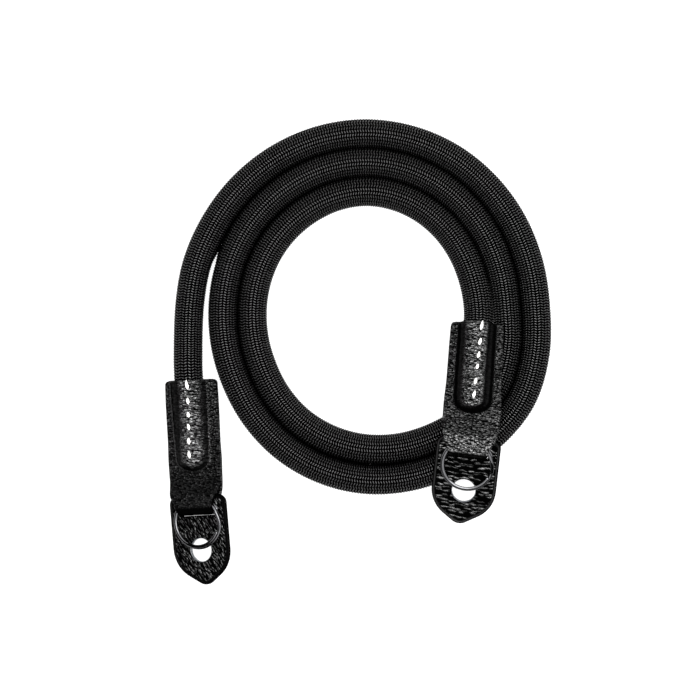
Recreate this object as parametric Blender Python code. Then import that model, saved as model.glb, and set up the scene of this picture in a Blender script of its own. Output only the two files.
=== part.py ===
"""Rope camera strap, laid down in a flat coil.

A round braided rope makes two and a half turns round an open middle. Each of its ends is held in a
folded leather sleeve. The sleeve's strip passes through a split ring and through the slit of a leather
pad, and returns behind the pad. Metres, +Z up, resting on the plane z = 0. The origin is on that plane,
below the middle of the box round the two leather ends. The left end lies on the plane and is rolled onto
its left edge, and the right end lies on the coil's turns.
"""

from math import atan2, cos, degrees, hypot, pi, radians, sin, tan

import bmesh
import bpy
import numpy as np
from mathutils import Matrix

# Rope and coil
ROPE_DIAMETER = 0.0108
TURN_GAP = 0.00025
COIL_RADIUS = 0.04145
COIL_CENTRE = (0.0109, 0.0543)
COIL_STEP_DEG = 15
ROPE_ROUNDNESS = 4

# Leather
LEATHER = 0.0012
ROPE_CLEARANCE = 0.0003
PIECE_GAP = 0.0003
FLANGE_GAP = 0.0003
SLEEVE_WIDTH = 0.0216
CORNER_RADIUS = 0.0015
POCKET_LENGTH = 0.0295
POCKET_FILLET = 0.0015
POCKET_END_STEEPNESS = 1.6
SLEEVE_BEND_START = 0.033
SLEEVE_BEND_END = 0.042

# Pad
PAD_START = 0.0434
PAD_LENGTH = 0.0342
PAD_WIDTH = 0.024
PAD_THICKNESS = 0.0015
PAD_TAPER = 0.77
PAD_SHOULDER_RADIUS = 0.003
PAD_SIDE_RADIUS = 0.012
PAD_TIP_RADIUS = 0.0045
SLIT_FROM_TOP = 0.0067
SLIT_WIDTH = 0.0032
SLIT_CLEARANCE = 0.0008
HOLE_FROM_TOP = 0.0203
HOLE_DIAMETER = 0.0087

# Split ring
RING_DIAMETER = 0.020
RING_WIRE_WIDTH = 0.0013
RING_WIRE_HEIGHT = 0.0008
RING_COIL_GAP = 0.00015
RING_FROM_TOP = 0.0098
RING_COVER_GAP = 0.0004

# The rope's middle line round the coil. The angle counts counterclockwise from the inner end, at +X.
# Spread is its distance outside COIL_RADIUS as a share of the pitch, and lift is its height above the
# plane's own rope height as a share of the right mouth's.
COIL_COLUMNS = ("turn_deg", "spread", "lift")
COIL_TABLE = (
    (0, 0.043, 0.88),
    (30, 0.061, 0.47),
    (60, 0.140, 0.19),
    (90, 0.172, 0.05),
    (120, 0.068, 0.0),
    (150, 0.000, 0.0),
    (180, 0.027, 0.0),
    (210, 0.228, 0.0),
    (240, 0.643, 0.0),
    (270, 1.010, 0.0),
    (300, 1.240, 0.0),
    (330, 1.410, 0.0),
    (360, 1.057, 0.0),
    (390, 1.071, 0.0),
    (420, 1.150, 0.0),
    (450, 1.182, 0.0),
    (480, 1.082, 0.0),
    (510, 1.016, 0.0),
    (540, 1.044, 0.0),
    (570, 1.247, 0.0),
    (600, 1.675, 0.0),
    (630, 2.045, 0.0),
    (660, 2.258, 0.0),
    (690, 2.420, 0.0),
    (720, 2.074, 0.0),
    (750, 2.082, 0.0),
    (780, 2.157, 0.0),
    (810, 2.189, 0.0),
    (840, 2.092, 0.0),
    (870, 2.045, 0.0),
    (900, 2.167, 0.0),
)
COIL_LAST_DEG = COIL_TABLE[-1][0]

# The straight run from the coil's last turn down to the left sleeve, in plan.
LEFT_RUN = ((-0.0546, 0.0461), (-0.0544, 0.0385))
ROPE_LEAD = 0.005

# The sleeve's strip, from its mouth (0) to the pad's slit (1). Width is a share of SLEEVE_WIDTH. Over and
# under are how far the front and back layers have left the flange's plane for the ring and the pad.
STRIP_COLUMNS = ("along", "width", "over", "under")
STRIP_TABLE = (
    (0.00, 0.885, 0.00, 0.00),
    (0.15, 0.905, 0.00, 0.00),
    (0.30, 0.915, 0.00, 0.00),
    (0.47, 0.930, 0.00, 0.00),
    (0.60, 0.965, 0.00, 0.00),
    (0.70, 0.970, 0.00, 0.00),
    (0.76, 0.965, 0.05, 0.08),
    (0.81, 0.925, 0.46, 0.55),
    (0.86, 0.850, 1.00, 1.00),
    (0.89, 0.785, 1.00, 1.00),
    (0.93, 0.705, 1.00, 1.00),
    (0.965, 0.665, 1.00, 1.00),
    (1.00, 0.640, 1.00, 1.00),
)
DIVE_REACH = 0.0023
RETURN_REACH = 0.0020

# Columns across the strip, as shares of the pocket's half width at its foot.
STRIP_ACROSS = (0.0, 0.33, 0.60, 0.77, 0.84, 0.91, 1.0)
NARROW_SHARE = 0.93

FLOOR_GAP = 0.00005
FLANGE_HALF = FLANGE_GAP / 2 + LEATHER
SLEEVE_HALF = ROPE_DIAMETER / 2 + ROPE_CLEARANCE + LEATHER
TURN_PITCH = ROPE_DIAMETER + TURN_GAP
SLIT_AT = PAD_START + SLIT_FROM_TOP
FITTING_LENGTH = PAD_START + PAD_LENGTH
RIGHT_MOUTH_HEIGHT = ROPE_DIAMETER + 2 * PIECE_GAP + FLANGE_HALF
RIGHT_END_HEIGHT = ROPE_DIAMETER + PIECE_GAP + SLEEVE_HALF
RIGHT_RISE_DEG = degrees(atan2(RIGHT_END_HEIGHT - RIGHT_MOUTH_HEIGHT, POCKET_LENGTH))

# Each leather end: the middle of its mouth, and its angles in degrees. Lean is towards +X, pitch is
# upwards, and roll raises the +X side. The pad's tip is cut a
# little to one side, and the ring hangs a little to one side.
ENDS = {
    "left": {
        "mouth": (-0.0532, 0.0274, SLEEVE_HALF + FLOOR_GAP),
        "sleeve_lean": 2.9,
        "pad_lean": 4.8,
        "sleeve_pitch": 0.3,
        "pad_pitch": 0.0,
        "mouth_roll": 12.0,
        "pad_roll": 31.0,
        "tip_aside": 0.0012,
        "ring_aside": 0.0,
    },
    "right": {
        "mouth": (0.0535, 0.0484, RIGHT_MOUTH_HEIGHT),
        "sleeve_lean": -4.0,
        "pad_lean": -5.0,
        "sleeve_pitch": RIGHT_RISE_DEG,
        "pad_pitch": -16.0,
        "mouth_roll": 0.0,
        "pad_roll": 4.0,
        "tip_aside": -0.0006,
        "ring_aside": 0.0003,
    },
}
SPINE_STEP = 0.0001


def column(table, columns, name):
    """One named column of a table, as an array."""
    return np.array([row[columns.index(name)] for row in table], float)


def read_table(table, columns, name, at):
    """A column's values at places along the table's first column, on a smooth curve through its rows."""
    knots = column(table, columns, columns[0])
    values = column(table, columns, name)
    slopes = np.gradient(values, knots)
    at = np.clip(np.asarray(at, float), knots[0], knots[-1])
    low = np.clip(np.searchsorted(knots, at, side="right") - 1, 0, len(knots) - 2)
    span = knots[low + 1] - knots[low]
    t = (at - knots[low]) / span
    return (
        values[low] * (1 + 2 * t) * (1 - t) ** 2
        + slopes[low] * span * t * (1 - t) ** 2
        + values[low + 1] * t**2 * (3 - 2 * t)
        + slopes[low + 1] * span * t**2 * (t - 1)
    )


def ease(t):
    """0 below 0, 1 above 1, and a smooth step between."""
    t = np.clip(t, 0, 1)
    return t * t * (3 - 2 * t)


class Spine:
    """The middle line of one leather end: straight in its sleeve, bent before the pad, straight again."""

    def __init__(self, end):
        self.along = np.arange(-ROPE_LEAD, FITTING_LENGTH + SPINE_STEP, SPINE_STEP)
        bend = ease((self.along - SLEEVE_BEND_START) / (SLEEVE_BEND_END - SLEEVE_BEND_START))
        lean = np.radians(end["sleeve_lean"] + bend * (end["pad_lean"] - end["sleeve_lean"]))
        pitch = np.radians(end["sleeve_pitch"] + bend * (end["pad_pitch"] - end["sleeve_pitch"]))
        twist = ease(self.along / SLEEVE_BEND_END)
        self.roll = np.radians(end["mouth_roll"] + twist * (end["pad_roll"] - end["mouth_roll"]))
        self.heading = np.stack(
            [np.cos(pitch) * np.sin(lean), -np.cos(pitch) * np.cos(lean), np.sin(pitch)], axis=1
        )
        middle = (self.heading[1:] + self.heading[:-1]) / 2
        steps = np.diff(self.along)[:, None] * middle
        path = np.concatenate([np.zeros((1, 3)), np.cumsum(steps, axis=0)])
        at_mouth = np.array([np.interp(0, self.along, path[:, axis]) for axis in range(3)])
        self.path = path - at_mouth + np.array(end["mouth"])

    def frame(self, along):
        """Place, side, heading and normal at the given distances from the mouth."""
        place = self.read(self.path, along)
        heading = self.read(self.heading, along)
        heading /= np.linalg.norm(heading, axis=-1, keepdims=True)
        flat_side = np.cross((0, 0, 1), heading)
        flat_side /= np.linalg.norm(flat_side, axis=-1, keepdims=True)
        upright = np.cross(heading, flat_side)
        roll = np.interp(along, self.along, self.roll)[..., None]
        side = np.cos(roll) * flat_side + np.sin(roll) * upright
        normal = np.cos(roll) * upright - np.sin(roll) * flat_side
        return place, side, heading, normal

    def read(self, values, along):
        return np.stack([np.interp(along, self.along, values[:, axis]) for axis in range(3)], axis=-1)

    def points(self, across, along, height):
        """World places of points given across, along and above the spine."""
        place, side, _, normal = self.frame(along)
        return place + across[..., None] * side + height[..., None] * normal

    def pad_matrix(self):
        """The pad's own frame at its top edge: X across, Y back towards the rope, Z out of its front."""
        place, side, heading, normal = self.frame(np.array([PAD_START]))
        rows = np.stack([side[0], -heading[0], normal[0], place[0]], axis=1)
        return Matrix([*rows.tolist(), [0, 0, 0, 1]])


def principled(name, colour, roughness, metallic=0.0):
    material = bpy.data.materials.new(name)
    material.use_nodes = True
    shader = material.node_tree.nodes["Principled BSDF"]
    shader.inputs["Base Color"].default_value = (*colour, 1)
    shader.inputs["Roughness"].default_value = roughness
    shader.inputs["Metallic"].default_value = metallic
    return material


def add_object(name, data, material):
    data.materials.append(material)
    item = bpy.data.objects.new(name, data)
    bpy.context.collection.objects.link(item)
    return item


def grid_mesh(name, points):
    """A mesh of quads over a grid of points with rows and columns."""
    rows, columns = points.shape[:2]
    index = np.arange(rows * columns).reshape(rows, columns)
    quads = np.stack([index[:-1, :-1], index[:-1, 1:], index[1:, 1:], index[1:, :-1]], axis=-1)
    mesh = bpy.data.meshes.new(name)
    mesh.from_pydata(points.reshape(-1, 3).tolist(), [], quads.reshape(-1, 4).tolist())
    return mesh


def coil_points():
    """The rope's middle line round the coil, one point for each step of its angle."""
    turn = np.arange(COIL_STEP_DEG, COIL_LAST_DEG + 1, COIL_STEP_DEG)
    radius = COIL_RADIUS + TURN_PITCH * read_table(COIL_TABLE, COIL_COLUMNS, "spread", turn)
    lift = read_table(COIL_TABLE, COIL_COLUMNS, "lift", turn)
    height = ROPE_DIAMETER / 2 + lift * (RIGHT_MOUTH_HEIGHT - ROPE_DIAMETER / 2)
    angle = np.radians(turn)
    return np.stack(
        [COIL_CENTRE[0] + radius * np.cos(angle), COIL_CENTRE[1] + radius * np.sin(angle), height],
        axis=1,
    )


def rope_points(spines):
    """The whole route, from the end in the right sleeve round the coil to the end in the left one."""
    inside = np.linspace(POCKET_LENGTH, -ROPE_LEAD, 4)
    first = spines["right"].frame(inside)[0]
    last = spines["left"].frame(inside[::-1])[0]
    rope_height = ROPE_DIAMETER / 2
    rise = (last[0][2] - rope_height) / (len(LEFT_RUN) + 1)
    run = [(x, y, rope_height + row * rise) for row, (x, y) in enumerate(LEFT_RUN)]
    return np.concatenate([first, coil_points(), run, last])


def build_rope(spines, material):
    curve = bpy.data.curves.new("rope", "CURVE")
    curve.dimensions = "3D"
    curve.bevel_depth = ROPE_DIAMETER / 2
    curve.bevel_resolution = ROPE_ROUNDNESS
    curve.use_fill_caps = True
    points = rope_points(spines)
    spline = curve.splines.new("POLY")
    spline.points.add(len(points) - 1)
    for point, place in zip(spline.points, points.tolist()):
        point.co = (*place, 1)
    spline.use_smooth = True
    return add_object("rope", curve, material)


def pocket_foot():
    """Half the pocket's width where its fillet meets the flange, on the leather's middle surface."""
    crest = ROPE_DIAMETER / 2 + ROPE_CLEARANCE + LEATHER / 2
    level = (FLANGE_GAP + LEATHER) / 2
    return np.sqrt((crest + POCKET_FILLET) ** 2 - (level + POCKET_FILLET) ** 2)


def pocket_height(distance):
    """The pocket's section: a round over the rope, a hollow fillet at its foot, and the flat flange."""
    crest = ROPE_DIAMETER / 2 + ROPE_CLEARANCE + LEATHER / 2
    level = (FLANGE_GAP + LEATHER) / 2
    foot = pocket_foot()
    meet = foot * crest / (crest + POCKET_FILLET)
    over = np.sqrt(np.maximum(crest**2 - distance**2, 0))
    fillet = level + POCKET_FILLET - np.sqrt(np.maximum(POCKET_FILLET**2 - (foot - distance) ** 2, 0))
    return np.where(distance < meet, over, np.where(distance < foot, fillet, level))


def strip_rows():
    """The strip's rows from the front mouth to the back one: distance from the mouth and height."""
    foot = pocket_foot()
    corner = CORNER_RADIUS * np.array([0.0, 0.35, 1.0])
    straight = np.linspace(POCKET_LENGTH / 6, POCKET_LENGTH, 6)
    dome = POCKET_LENGTH + foot / POCKET_END_STEEPNESS * np.array(STRIP_ACROSS[1:])
    flat = SLIT_AT * np.array([0.72, 0.76, 0.79, 0.82, 0.85, 0.88, 0.915])
    along = np.concatenate([corner, straight, dome, flat])
    level = (FLANGE_GAP + LEATHER) / 2
    front = PAD_THICKNESS / 2 + PIECE_GAP + ring_height() + RING_COVER_GAP + LEATHER / 2
    back = PAD_THICKNESS / 2 + PIECE_GAP + LEATHER / 2
    over = level + (front - level) * read_table(STRIP_TABLE, STRIP_COLUMNS, "over", along / SLIT_AT)
    under = level + (back - level) * read_table(STRIP_TABLE, STRIP_COLUMNS, "under", along / SLIT_AT)
    dive = np.radians([0, 22, 42, 60, 76, 90])
    dive_along = SLIT_AT - DIVE_REACH * (1 - np.sin(dive))
    turn = np.radians([25, 50, 72, 90])
    turn_along = SLIT_AT - RETURN_REACH * (1 - np.cos(turn))
    return (
        np.concatenate([along, dive_along, turn_along, along[::-1]]),
        np.concatenate([over, front * np.cos(dive), -back * np.sin(turn), -under[::-1]]),
        np.concatenate([np.ones(len(along) + len(dive)), -np.ones(len(turn) + len(along))]),
    )


def half_width(along):
    """Half the strip's width, with its corners rounded at the mouth."""
    share = read_table(STRIP_TABLE, STRIP_COLUMNS, "width", along / SLIT_AT)
    inset = CORNER_RADIUS - np.minimum(along, CORNER_RADIUS)
    corner = CORNER_RADIUS - np.sqrt(np.maximum(CORNER_RADIUS**2 - inset**2, 0))
    return SLEEVE_WIDTH / 2 * share - corner


def build_sleeve(side, spine, material):
    """One strip: moulded over the rope, folded through the pad's slit, and the same behind."""
    along, height, facing = strip_rows()
    half = half_width(along)
    foot = pocket_foot()
    inner = np.minimum(foot, NARROW_SHARE * half)[:, None] * np.array(STRIP_ACROSS)
    right_half = np.concatenate([inner, half[:, None]], axis=1)
    across = np.concatenate([-right_half[:, :0:-1], right_half], axis=1)
    along = np.repeat(along[:, None], across.shape[1], axis=1)
    past_pocket = POCKET_END_STEEPNESS * np.maximum(along - POCKET_LENGTH, 0)
    bump = pocket_height(np.hypot(across, past_pocket)) - (FLANGE_GAP + LEATHER) / 2
    surface = height[:, None] + facing[:, None] * bump
    mesh = grid_mesh(f"{side}_sleeve", spine.points(across, along, surface))
    mesh.shade_smooth()
    sleeve = add_object(f"{side}_sleeve", mesh, material)
    wall = sleeve.modifiers.new("wall", "SOLIDIFY")
    wall.thickness = LEATHER
    wall.offset = 0
    return sleeve


def rounded_outline(corners, steps=6):
    """A closed outline through corners given as (x, y, radius), each rounded by an arc."""
    points = []
    for index, (x, y, radius) in enumerate(corners):
        before = np.array(corners[index - 1][:2]) - (x, y)
        after = np.array(corners[(index + 1) % len(corners)][:2]) - (x, y)
        before /= hypot(*before)
        after /= hypot(*after)
        half_angle = np.arccos(np.clip(before @ after, -1, 1)) / 2
        bisector = (before + after) / hypot(*(before + after))
        middle = np.array((x, y)) + bisector * radius / sin(half_angle)
        start = np.array((x, y)) + before * radius / tan(half_angle) - middle
        end = np.array((x, y)) + after * radius / tan(half_angle) - middle
        sweep = pi - 2 * half_angle
        for step in range(steps + 1):
            t = step / steps
            blend = (sin((1 - t) * sweep) * start + sin(t * sweep) * end) / sin(sweep)
            points.append(tuple(middle + blend))
    return points


def slot_outline(length, width, middle_y, steps=6):
    """A slot with round ends, lying across the pad."""
    radius = width / 2
    points = []
    for direction in (1, -1):
        for step in range(steps + 1):
            angle = direction * (pi * step / steps - pi / 2)
            points.append(
                (direction * (length / 2 - radius + radius * cos(angle)), middle_y + radius * sin(angle))
            )
    return points


def round_outline(radius, middle_y, steps=24):
    angles = [2 * pi * step / steps for step in range(steps)]
    return [(radius * cos(angle), middle_y + radius * sin(angle)) for angle in angles]


def build_pad(side, spine, tip_aside, material):
    """A flat leather plate with round shoulders and a blunt tip, a slit and a hole."""
    half = PAD_WIDTH / 2
    taper_start = PAD_TAPER * PAD_LENGTH
    corners = [
        (-half, 0, PAD_SHOULDER_RADIUS),
        (half, 0, PAD_SHOULDER_RADIUS),
        (half, -taper_start, PAD_SIDE_RADIUS),
        (tip_aside, -PAD_LENGTH, PAD_TIP_RADIUS),
        (-half, -taper_start, PAD_SIDE_RADIUS),
    ]
    strip_width = SLEEVE_WIDTH * STRIP_TABLE[-1][STRIP_COLUMNS.index("width")]
    curve = bpy.data.curves.new(f"{side}_pad", "CURVE")
    curve.dimensions = "2D"
    curve.fill_mode = "BOTH"
    curve.extrude = PAD_THICKNESS / 2
    outlines = (
        rounded_outline(corners),
        slot_outline(strip_width + 2 * SLIT_CLEARANCE, SLIT_WIDTH, -SLIT_FROM_TOP),
        round_outline(HOLE_DIAMETER / 2, -HOLE_FROM_TOP),
    )
    for outline in outlines:
        spline = curve.splines.new("POLY")
        spline.points.add(len(outline) - 1)
        for point, (x, y) in zip(spline.points, outline):
            point.co = (x, y, 0, 1)
        spline.use_cyclic_u = True
    pad = add_object(f"{side}_pad", curve, material)
    pad.matrix_world = spine.pad_matrix()
    return pad


def ring_height():
    return 2 * RING_WIRE_HEIGHT + RING_COIL_GAP


def build_ring(side, spine, aside, material):
    """Two flat coils of one wire, which steps from the lower to the upper coil where its ends meet."""
    step_half = radians(24)
    turns = np.linspace(step_half, 4 * pi - step_half, 61)
    level = (RING_WIRE_HEIGHT + RING_COIL_GAP) / 2
    rise = ease((turns - 2 * pi + step_half) / (2 * step_half))
    middle_height = PAD_THICKNESS / 2 + PIECE_GAP + ring_height() / 2
    height = middle_height + level * (2 * rise - 1)
    flat = 0.62
    section = np.array([(-1, 0), (-flat, 1), (flat, 1), (1, 0), (flat, -1), (-flat, -1)])
    radius = RING_DIAMETER / 2 - RING_WIRE_WIDTH / 2 + section[:, 0] * RING_WIRE_WIDTH / 2
    points = np.stack(
        [
            np.cos(turns)[:, None] * radius + aside,
            np.sin(turns)[:, None] * radius - RING_FROM_TOP,
            height[:, None] + section[:, 1] * RING_WIRE_HEIGHT / 2,
        ],
        axis=-1,
    )
    closed = np.concatenate([points, points[:, :1]], axis=1)
    mesh = grid_mesh(f"{side}_ring", closed)
    shape = bmesh.new()
    shape.from_mesh(mesh)
    bmesh.ops.remove_doubles(shape, verts=shape.verts, dist=1e-6)
    bmesh.ops.holes_fill(shape, edges=shape.edges, sides=len(section))
    bmesh.ops.recalc_face_normals(shape, faces=shape.faces)
    shape.to_mesh(mesh)
    shape.free()
    mesh.shade_smooth()
    ring = add_object(f"{side}_ring", mesh, material)
    ring.matrix_world = spine.pad_matrix()
    return ring


def main():
    for item in list(bpy.data.objects):
        bpy.data.objects.remove(item)
    rope_black = principled("rope_black", (0.016, 0.016, 0.018), 0.85)
    sleeve_leather = principled("sleeve_leather", (0.014, 0.014, 0.015), 0.45)
    pad_leather = principled("pad_leather", (0.010, 0.010, 0.011), 0.4)
    ring_metal = principled("ring_metal", (0.06, 0.06, 0.065), 0.22, 1.0)
    spines = {side: Spine(end) for side, end in ENDS.items()}
    build_rope(spines, rope_black)
    for side, end in ENDS.items():
        spine = spines[side]
        build_sleeve(side, spine, sleeve_leather)
        build_pad(side, spine, end["tip_aside"], pad_leather)
        build_ring(side, spine, end["ring_aside"], ring_metal)


main()
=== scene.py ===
"""A rope camera strap lying in a flat coil on a pale floor, seen from straight above.

The rope's braid, the leather sleeves with their stitches, the leather pads and the split rings are
surfaces worked out with numpy in the part's own frame, in metres. Sizes and their names are the part's
own. The rope's route and the places of the leather ends are the part's within about a millimetre, fitted
once more to the photograph.
"""

from math import atan2, cos, degrees, pi, sin, tan

import bpy
import numpy as np
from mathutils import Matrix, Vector
from mathutils.geometry import delaunay_2d_cdt


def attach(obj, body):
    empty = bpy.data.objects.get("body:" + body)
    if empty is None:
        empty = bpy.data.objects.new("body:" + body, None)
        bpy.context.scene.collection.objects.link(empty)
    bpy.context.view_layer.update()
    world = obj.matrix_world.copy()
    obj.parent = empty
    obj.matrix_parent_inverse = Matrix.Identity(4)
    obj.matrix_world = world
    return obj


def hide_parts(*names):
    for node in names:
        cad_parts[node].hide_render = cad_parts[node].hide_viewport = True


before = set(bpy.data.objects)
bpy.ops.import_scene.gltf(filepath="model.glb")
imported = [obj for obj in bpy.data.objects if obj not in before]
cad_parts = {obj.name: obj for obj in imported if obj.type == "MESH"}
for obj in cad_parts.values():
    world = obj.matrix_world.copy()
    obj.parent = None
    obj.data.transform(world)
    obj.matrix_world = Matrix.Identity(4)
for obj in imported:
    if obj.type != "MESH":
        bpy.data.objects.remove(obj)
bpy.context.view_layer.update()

# The photograph's scale, the pixel that the origin falls on, and the lens straight above.
PIXEL = 0.000376
PICTURE = 700
ORIGIN_PIXEL = (335.06, 452.5)
EYE_HEIGHT = 1.25
SENSOR = 36.0

# The rope and its coil, by the angle from its inner end at +X. Spread is the middle line's distance
# outside COIL_RADIUS in pitches, and lift its rise above lying on the floor as a share of the right
# mouth's. LEFT_RUN is the straight run to the left sleeve, in plan.
ROPE_DIAMETER = 0.0108
TURN_GAP = 0.00025
COIL_RADIUS = 0.04145
COIL_CENTRE = (0.0109, 0.0543)
COIL_STEP_DEG = 15
ROPE_LEAD = 0.005
LEFT_RUN = ((-0.0549, 0.0461), (-0.0550, 0.0385))
COIL_COLUMNS = ("turn_deg", "spread", "lift")
COIL_SPREADS = (
    0.043, 0.061, 0.144, 0.184, 0.068, 0.000, 0.027, 0.228, 0.647, 1.004, 1.239, 1.423,
    1.060, 1.059, 1.139, 1.169, 1.082, 1.025, 1.037, 1.253, 1.684, 2.062, 2.251, 2.413,
    2.067, 2.055, 2.134, 2.155, 2.092, 2.060, 2.167,
)
COIL_LIFTS = (0.88, 0.47, 0.19, 0.05) + (0.0,) * 27
COIL_TABLE = tuple(zip(range(0, 901, 30), COIL_SPREADS, COIL_LIFTS))

# The braid: how many columns of strands go round the rope, the length of one row, how far a strand
# slants within its column in rows, how far it stands out, and the diameter over the strands. Between two
# columns the wave of crests and valleys is flatter and lower.
BRAID_COLUMNS = 24
BRAID_ROW = 0.00098
BRAID_SLANT = 0.5
BRAID_RELIEF = 0.00038
BRAID_DIAMETER = 0.0111
SEAM_WAVE = 0.75
SEAM_DROP = 0.25

# Turns side by side. Middle lines nearer than CONTACT_REACH touch, and each turn swells until they
# overlap a little, by SWELL_MOST at most. Within a slightly longer reach, the valley between them gets
# painted shade: its colour is darkened. The swell and the painted shade start at shares of the way to the
# rope's side. Places within SAME_TURN along the rope aren't neighbours, and the contact is averaged over
# CONTACT_ROWS.
CONTACT_REACH = 0.0119
CONTACT_OVERLAP = 0.00012
CONTACT_ROWS = 9
SAME_TURN = 3 * ROPE_DIAMETER
FAR_AWAY = 1.0
SWELL_MOST = 1.1
SWELL_FROM = 0.9
SWELL_OVER = 0.09
VALLEY_SHADE_REACH = 0.0128
VALLEY_SHADE_DARK = 0.72
VALLEY_SHADE_FROM = 0.74
VALLEY_SHADE_OVER = 0.24

# The leather ends.
LEATHER = 0.0012
ROPE_CLEARANCE = 0.0003
PIECE_GAP = 0.0003
FLANGE_GAP = 0.0003
SLEEVE_WIDTH = 0.0216
CORNER_RADIUS = 0.0015
POCKET_LENGTH = 0.0295
POCKET_FILLET = 0.0015
POCKET_END_STEEPNESS = 1.6
SLEEVE_BEND_START = 0.033
SLEEVE_BEND_END = 0.042
PAD_START = 0.0434
PAD_LENGTH = 0.0342
PAD_WIDTH = 0.024
PAD_THICKNESS = 0.0015
PAD_TAPER = 0.77
PAD_SHOULDER_RADIUS = 0.003
PAD_SIDE_RADIUS = 0.012
PAD_TIP_RADIUS = 0.0045
SLIT_FROM_TOP = 0.0067
SLIT_WIDTH = 0.0032
SLIT_CLEARANCE = 0.0008
HOLE_FROM_TOP = 0.0203
HOLE_DIAMETER = 0.0087
RING_DIAMETER = 0.020
RING_WIRE_WIDTH = 0.0013
RING_WIRE_HEIGHT = 0.0008
RING_COIL_GAP = 0.00015
RING_COIL_SHIFT = 0.00025
RING_FROM_TOP = 0.0098
RING_COVER_GAP = 0.0004
# The strip from its mouth (0) to the pad's slit (1): its width as a share of SLEEVE_WIDTH, and how far
# the front and back layers have left the flange's plane for the ring and the pad.
STRIP_COLUMNS = ("along", "width", "over", "under")
STRIP_TABLE = (
    (0.00, 0.885, 0.00, 0.00),
    (0.15, 0.905, 0.00, 0.00),
    (0.30, 0.915, 0.00, 0.00),
    (0.47, 0.930, 0.00, 0.00),
    (0.60, 0.965, 0.00, 0.00),
    (0.70, 0.970, 0.00, 0.00),
    (0.76, 0.965, 0.05, 0.08),
    (0.81, 0.925, 0.46, 0.55),
    (0.86, 0.850, 1.00, 1.00),
    (0.89, 0.785, 1.00, 1.00),
    (0.93, 0.705, 1.00, 1.00),
    (0.965, 0.665, 1.00, 1.00),
    (1.00, 0.640, 1.00, 1.00),
)
DIVE_REACH = 0.0023
RETURN_REACH = 0.0020

FLOOR_GAP = 0.00005
FLANGE_HALF = FLANGE_GAP / 2 + LEATHER
SLEEVE_HALF = ROPE_DIAMETER / 2 + ROPE_CLEARANCE + LEATHER
TURN_PITCH = ROPE_DIAMETER + TURN_GAP
SLIT_AT = PAD_START + SLIT_FROM_TOP
FITTING_LENGTH = PAD_START + PAD_LENGTH
RIGHT_MOUTH_HEIGHT = ROPE_DIAMETER + 2 * PIECE_GAP + FLANGE_HALF
RIGHT_END_HEIGHT = ROPE_DIAMETER + PIECE_GAP + SLEEVE_HALF
RIGHT_RISE_DEG = degrees(atan2(RIGHT_END_HEIGHT - RIGHT_MOUTH_HEIGHT, POCKET_LENGTH))
CREST = ROPE_DIAMETER / 2 + ROPE_CLEARANCE + LEATHER / 2
LEVEL = (FLANGE_GAP + LEATHER) / 2

# The two ends: name, left, right.
END_TABLE = (
    # The spine: its start, its leans, climbs and rolls in degrees.
    ("mouth", (-0.0538, 0.0274, SLEEVE_HALF + FLOOR_GAP), (0.0531, 0.0484, RIGHT_MOUTH_HEIGHT)),
    ("sleeve_lean", 2.9, -4.0),
    ("pad_lean", 4.8, -5.8),
    ("sleeve_pitch", 0.3, RIGHT_RISE_DEG),
    ("pad_pitch", 0.0, -16.0),
    ("mouth_roll", 12.0, 0.0),
    ("pad_roll", 27.5, 4.0),
    # Places aside from the middle line, and how a stitch slants.
    ("tip_aside", 0.0012, -0.0006),
    ("ring_aside", 0.0, 0.0003),
    ("pocket_aside", -0.0009, 0.0),
    ("stitch_at_mouth", 0.0000, 0.0014),
    ("stitch_at_end", 0.0010, 0.0004),
    ("stitch_tilt", 0.00035, -0.00045),
    # The thread's loose tail, the pad's wrinkles (length, spacing, turn), and the noise's seed.
    ("tail", True, False),
    ("crease", (0.0018, 0.0010, -60.0), (0.0028, 0.0015, -2.0)),
    ("seed", 3.0, 11.0),
    # How the sleeve is worn and where highlights and shade are painted on it: how far its crown's painted
    #     # highlight reaches to either side, plainness, painted shade and the painted line on the foot, and
    #     gloss.
    ("crown_half", (0.0013, 0.0034), (0.0032, 0.0022)),
    ("trough_plain", 0.4, 0.75),
    ("trough_right", 0.35, 1.0),
    ("foot_line", 1.0, 0.0),
    ("flange_gloss", 0.25, 0.34),
    ("fold_gloss", 0.22, 1.0),
)
ENDS = {side: {row[0]: row[at] for row in END_TABLE} for at, side in ((1, "left"), (2, "right"))}
SPINE_STEP = 0.0001

# The stitches along each sleeve, as starts and ends from its mouth, and the loose tail of the left one's
# thread. A stitch is two plies twisted together, bowed between the holes that it sinks into.
STITCH_TABLE = (
    (-0.0002, 0.0041), (0.0062, 0.0095), (0.0114, 0.0145),
    (0.0158, 0.0190), (0.0210, 0.0246), (0.0260, 0.0296),
)
THREAD_TAIL = (0.0301, 0.0337)
TAIL_WIDTH = 0.4
STITCH_WIDTH = 0.00115
STITCH_HEIGHT = 0.0007
STITCH_TWIST = 1.6
STITCH_PLIES = 0.10
STITCH_BOW = 0.00022
STITCH_SINK = 0.00025

# The sleeve's surface: its rows' distance, its points across the front, the back and each cut edge, the
# rows that round its two mouths, how the cut edge bulges, and the leather's soft lumps and ripples.
SLEEVE_ROW = 0.0003
FRONT_POINTS = 77
BACK_POINTS = 33
RIM_POINTS = 9
MOUTH_ROWS = 6
RIM_BULGE = 0.00028
RIM_POWER = 0.6
LUMP_SIZE = 0.0045
LUMP_HEIGHT = 0.00010
RIPPLE_SIZE = 0.0016
RIPPLE_HEIGHT = 0.00005

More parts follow.
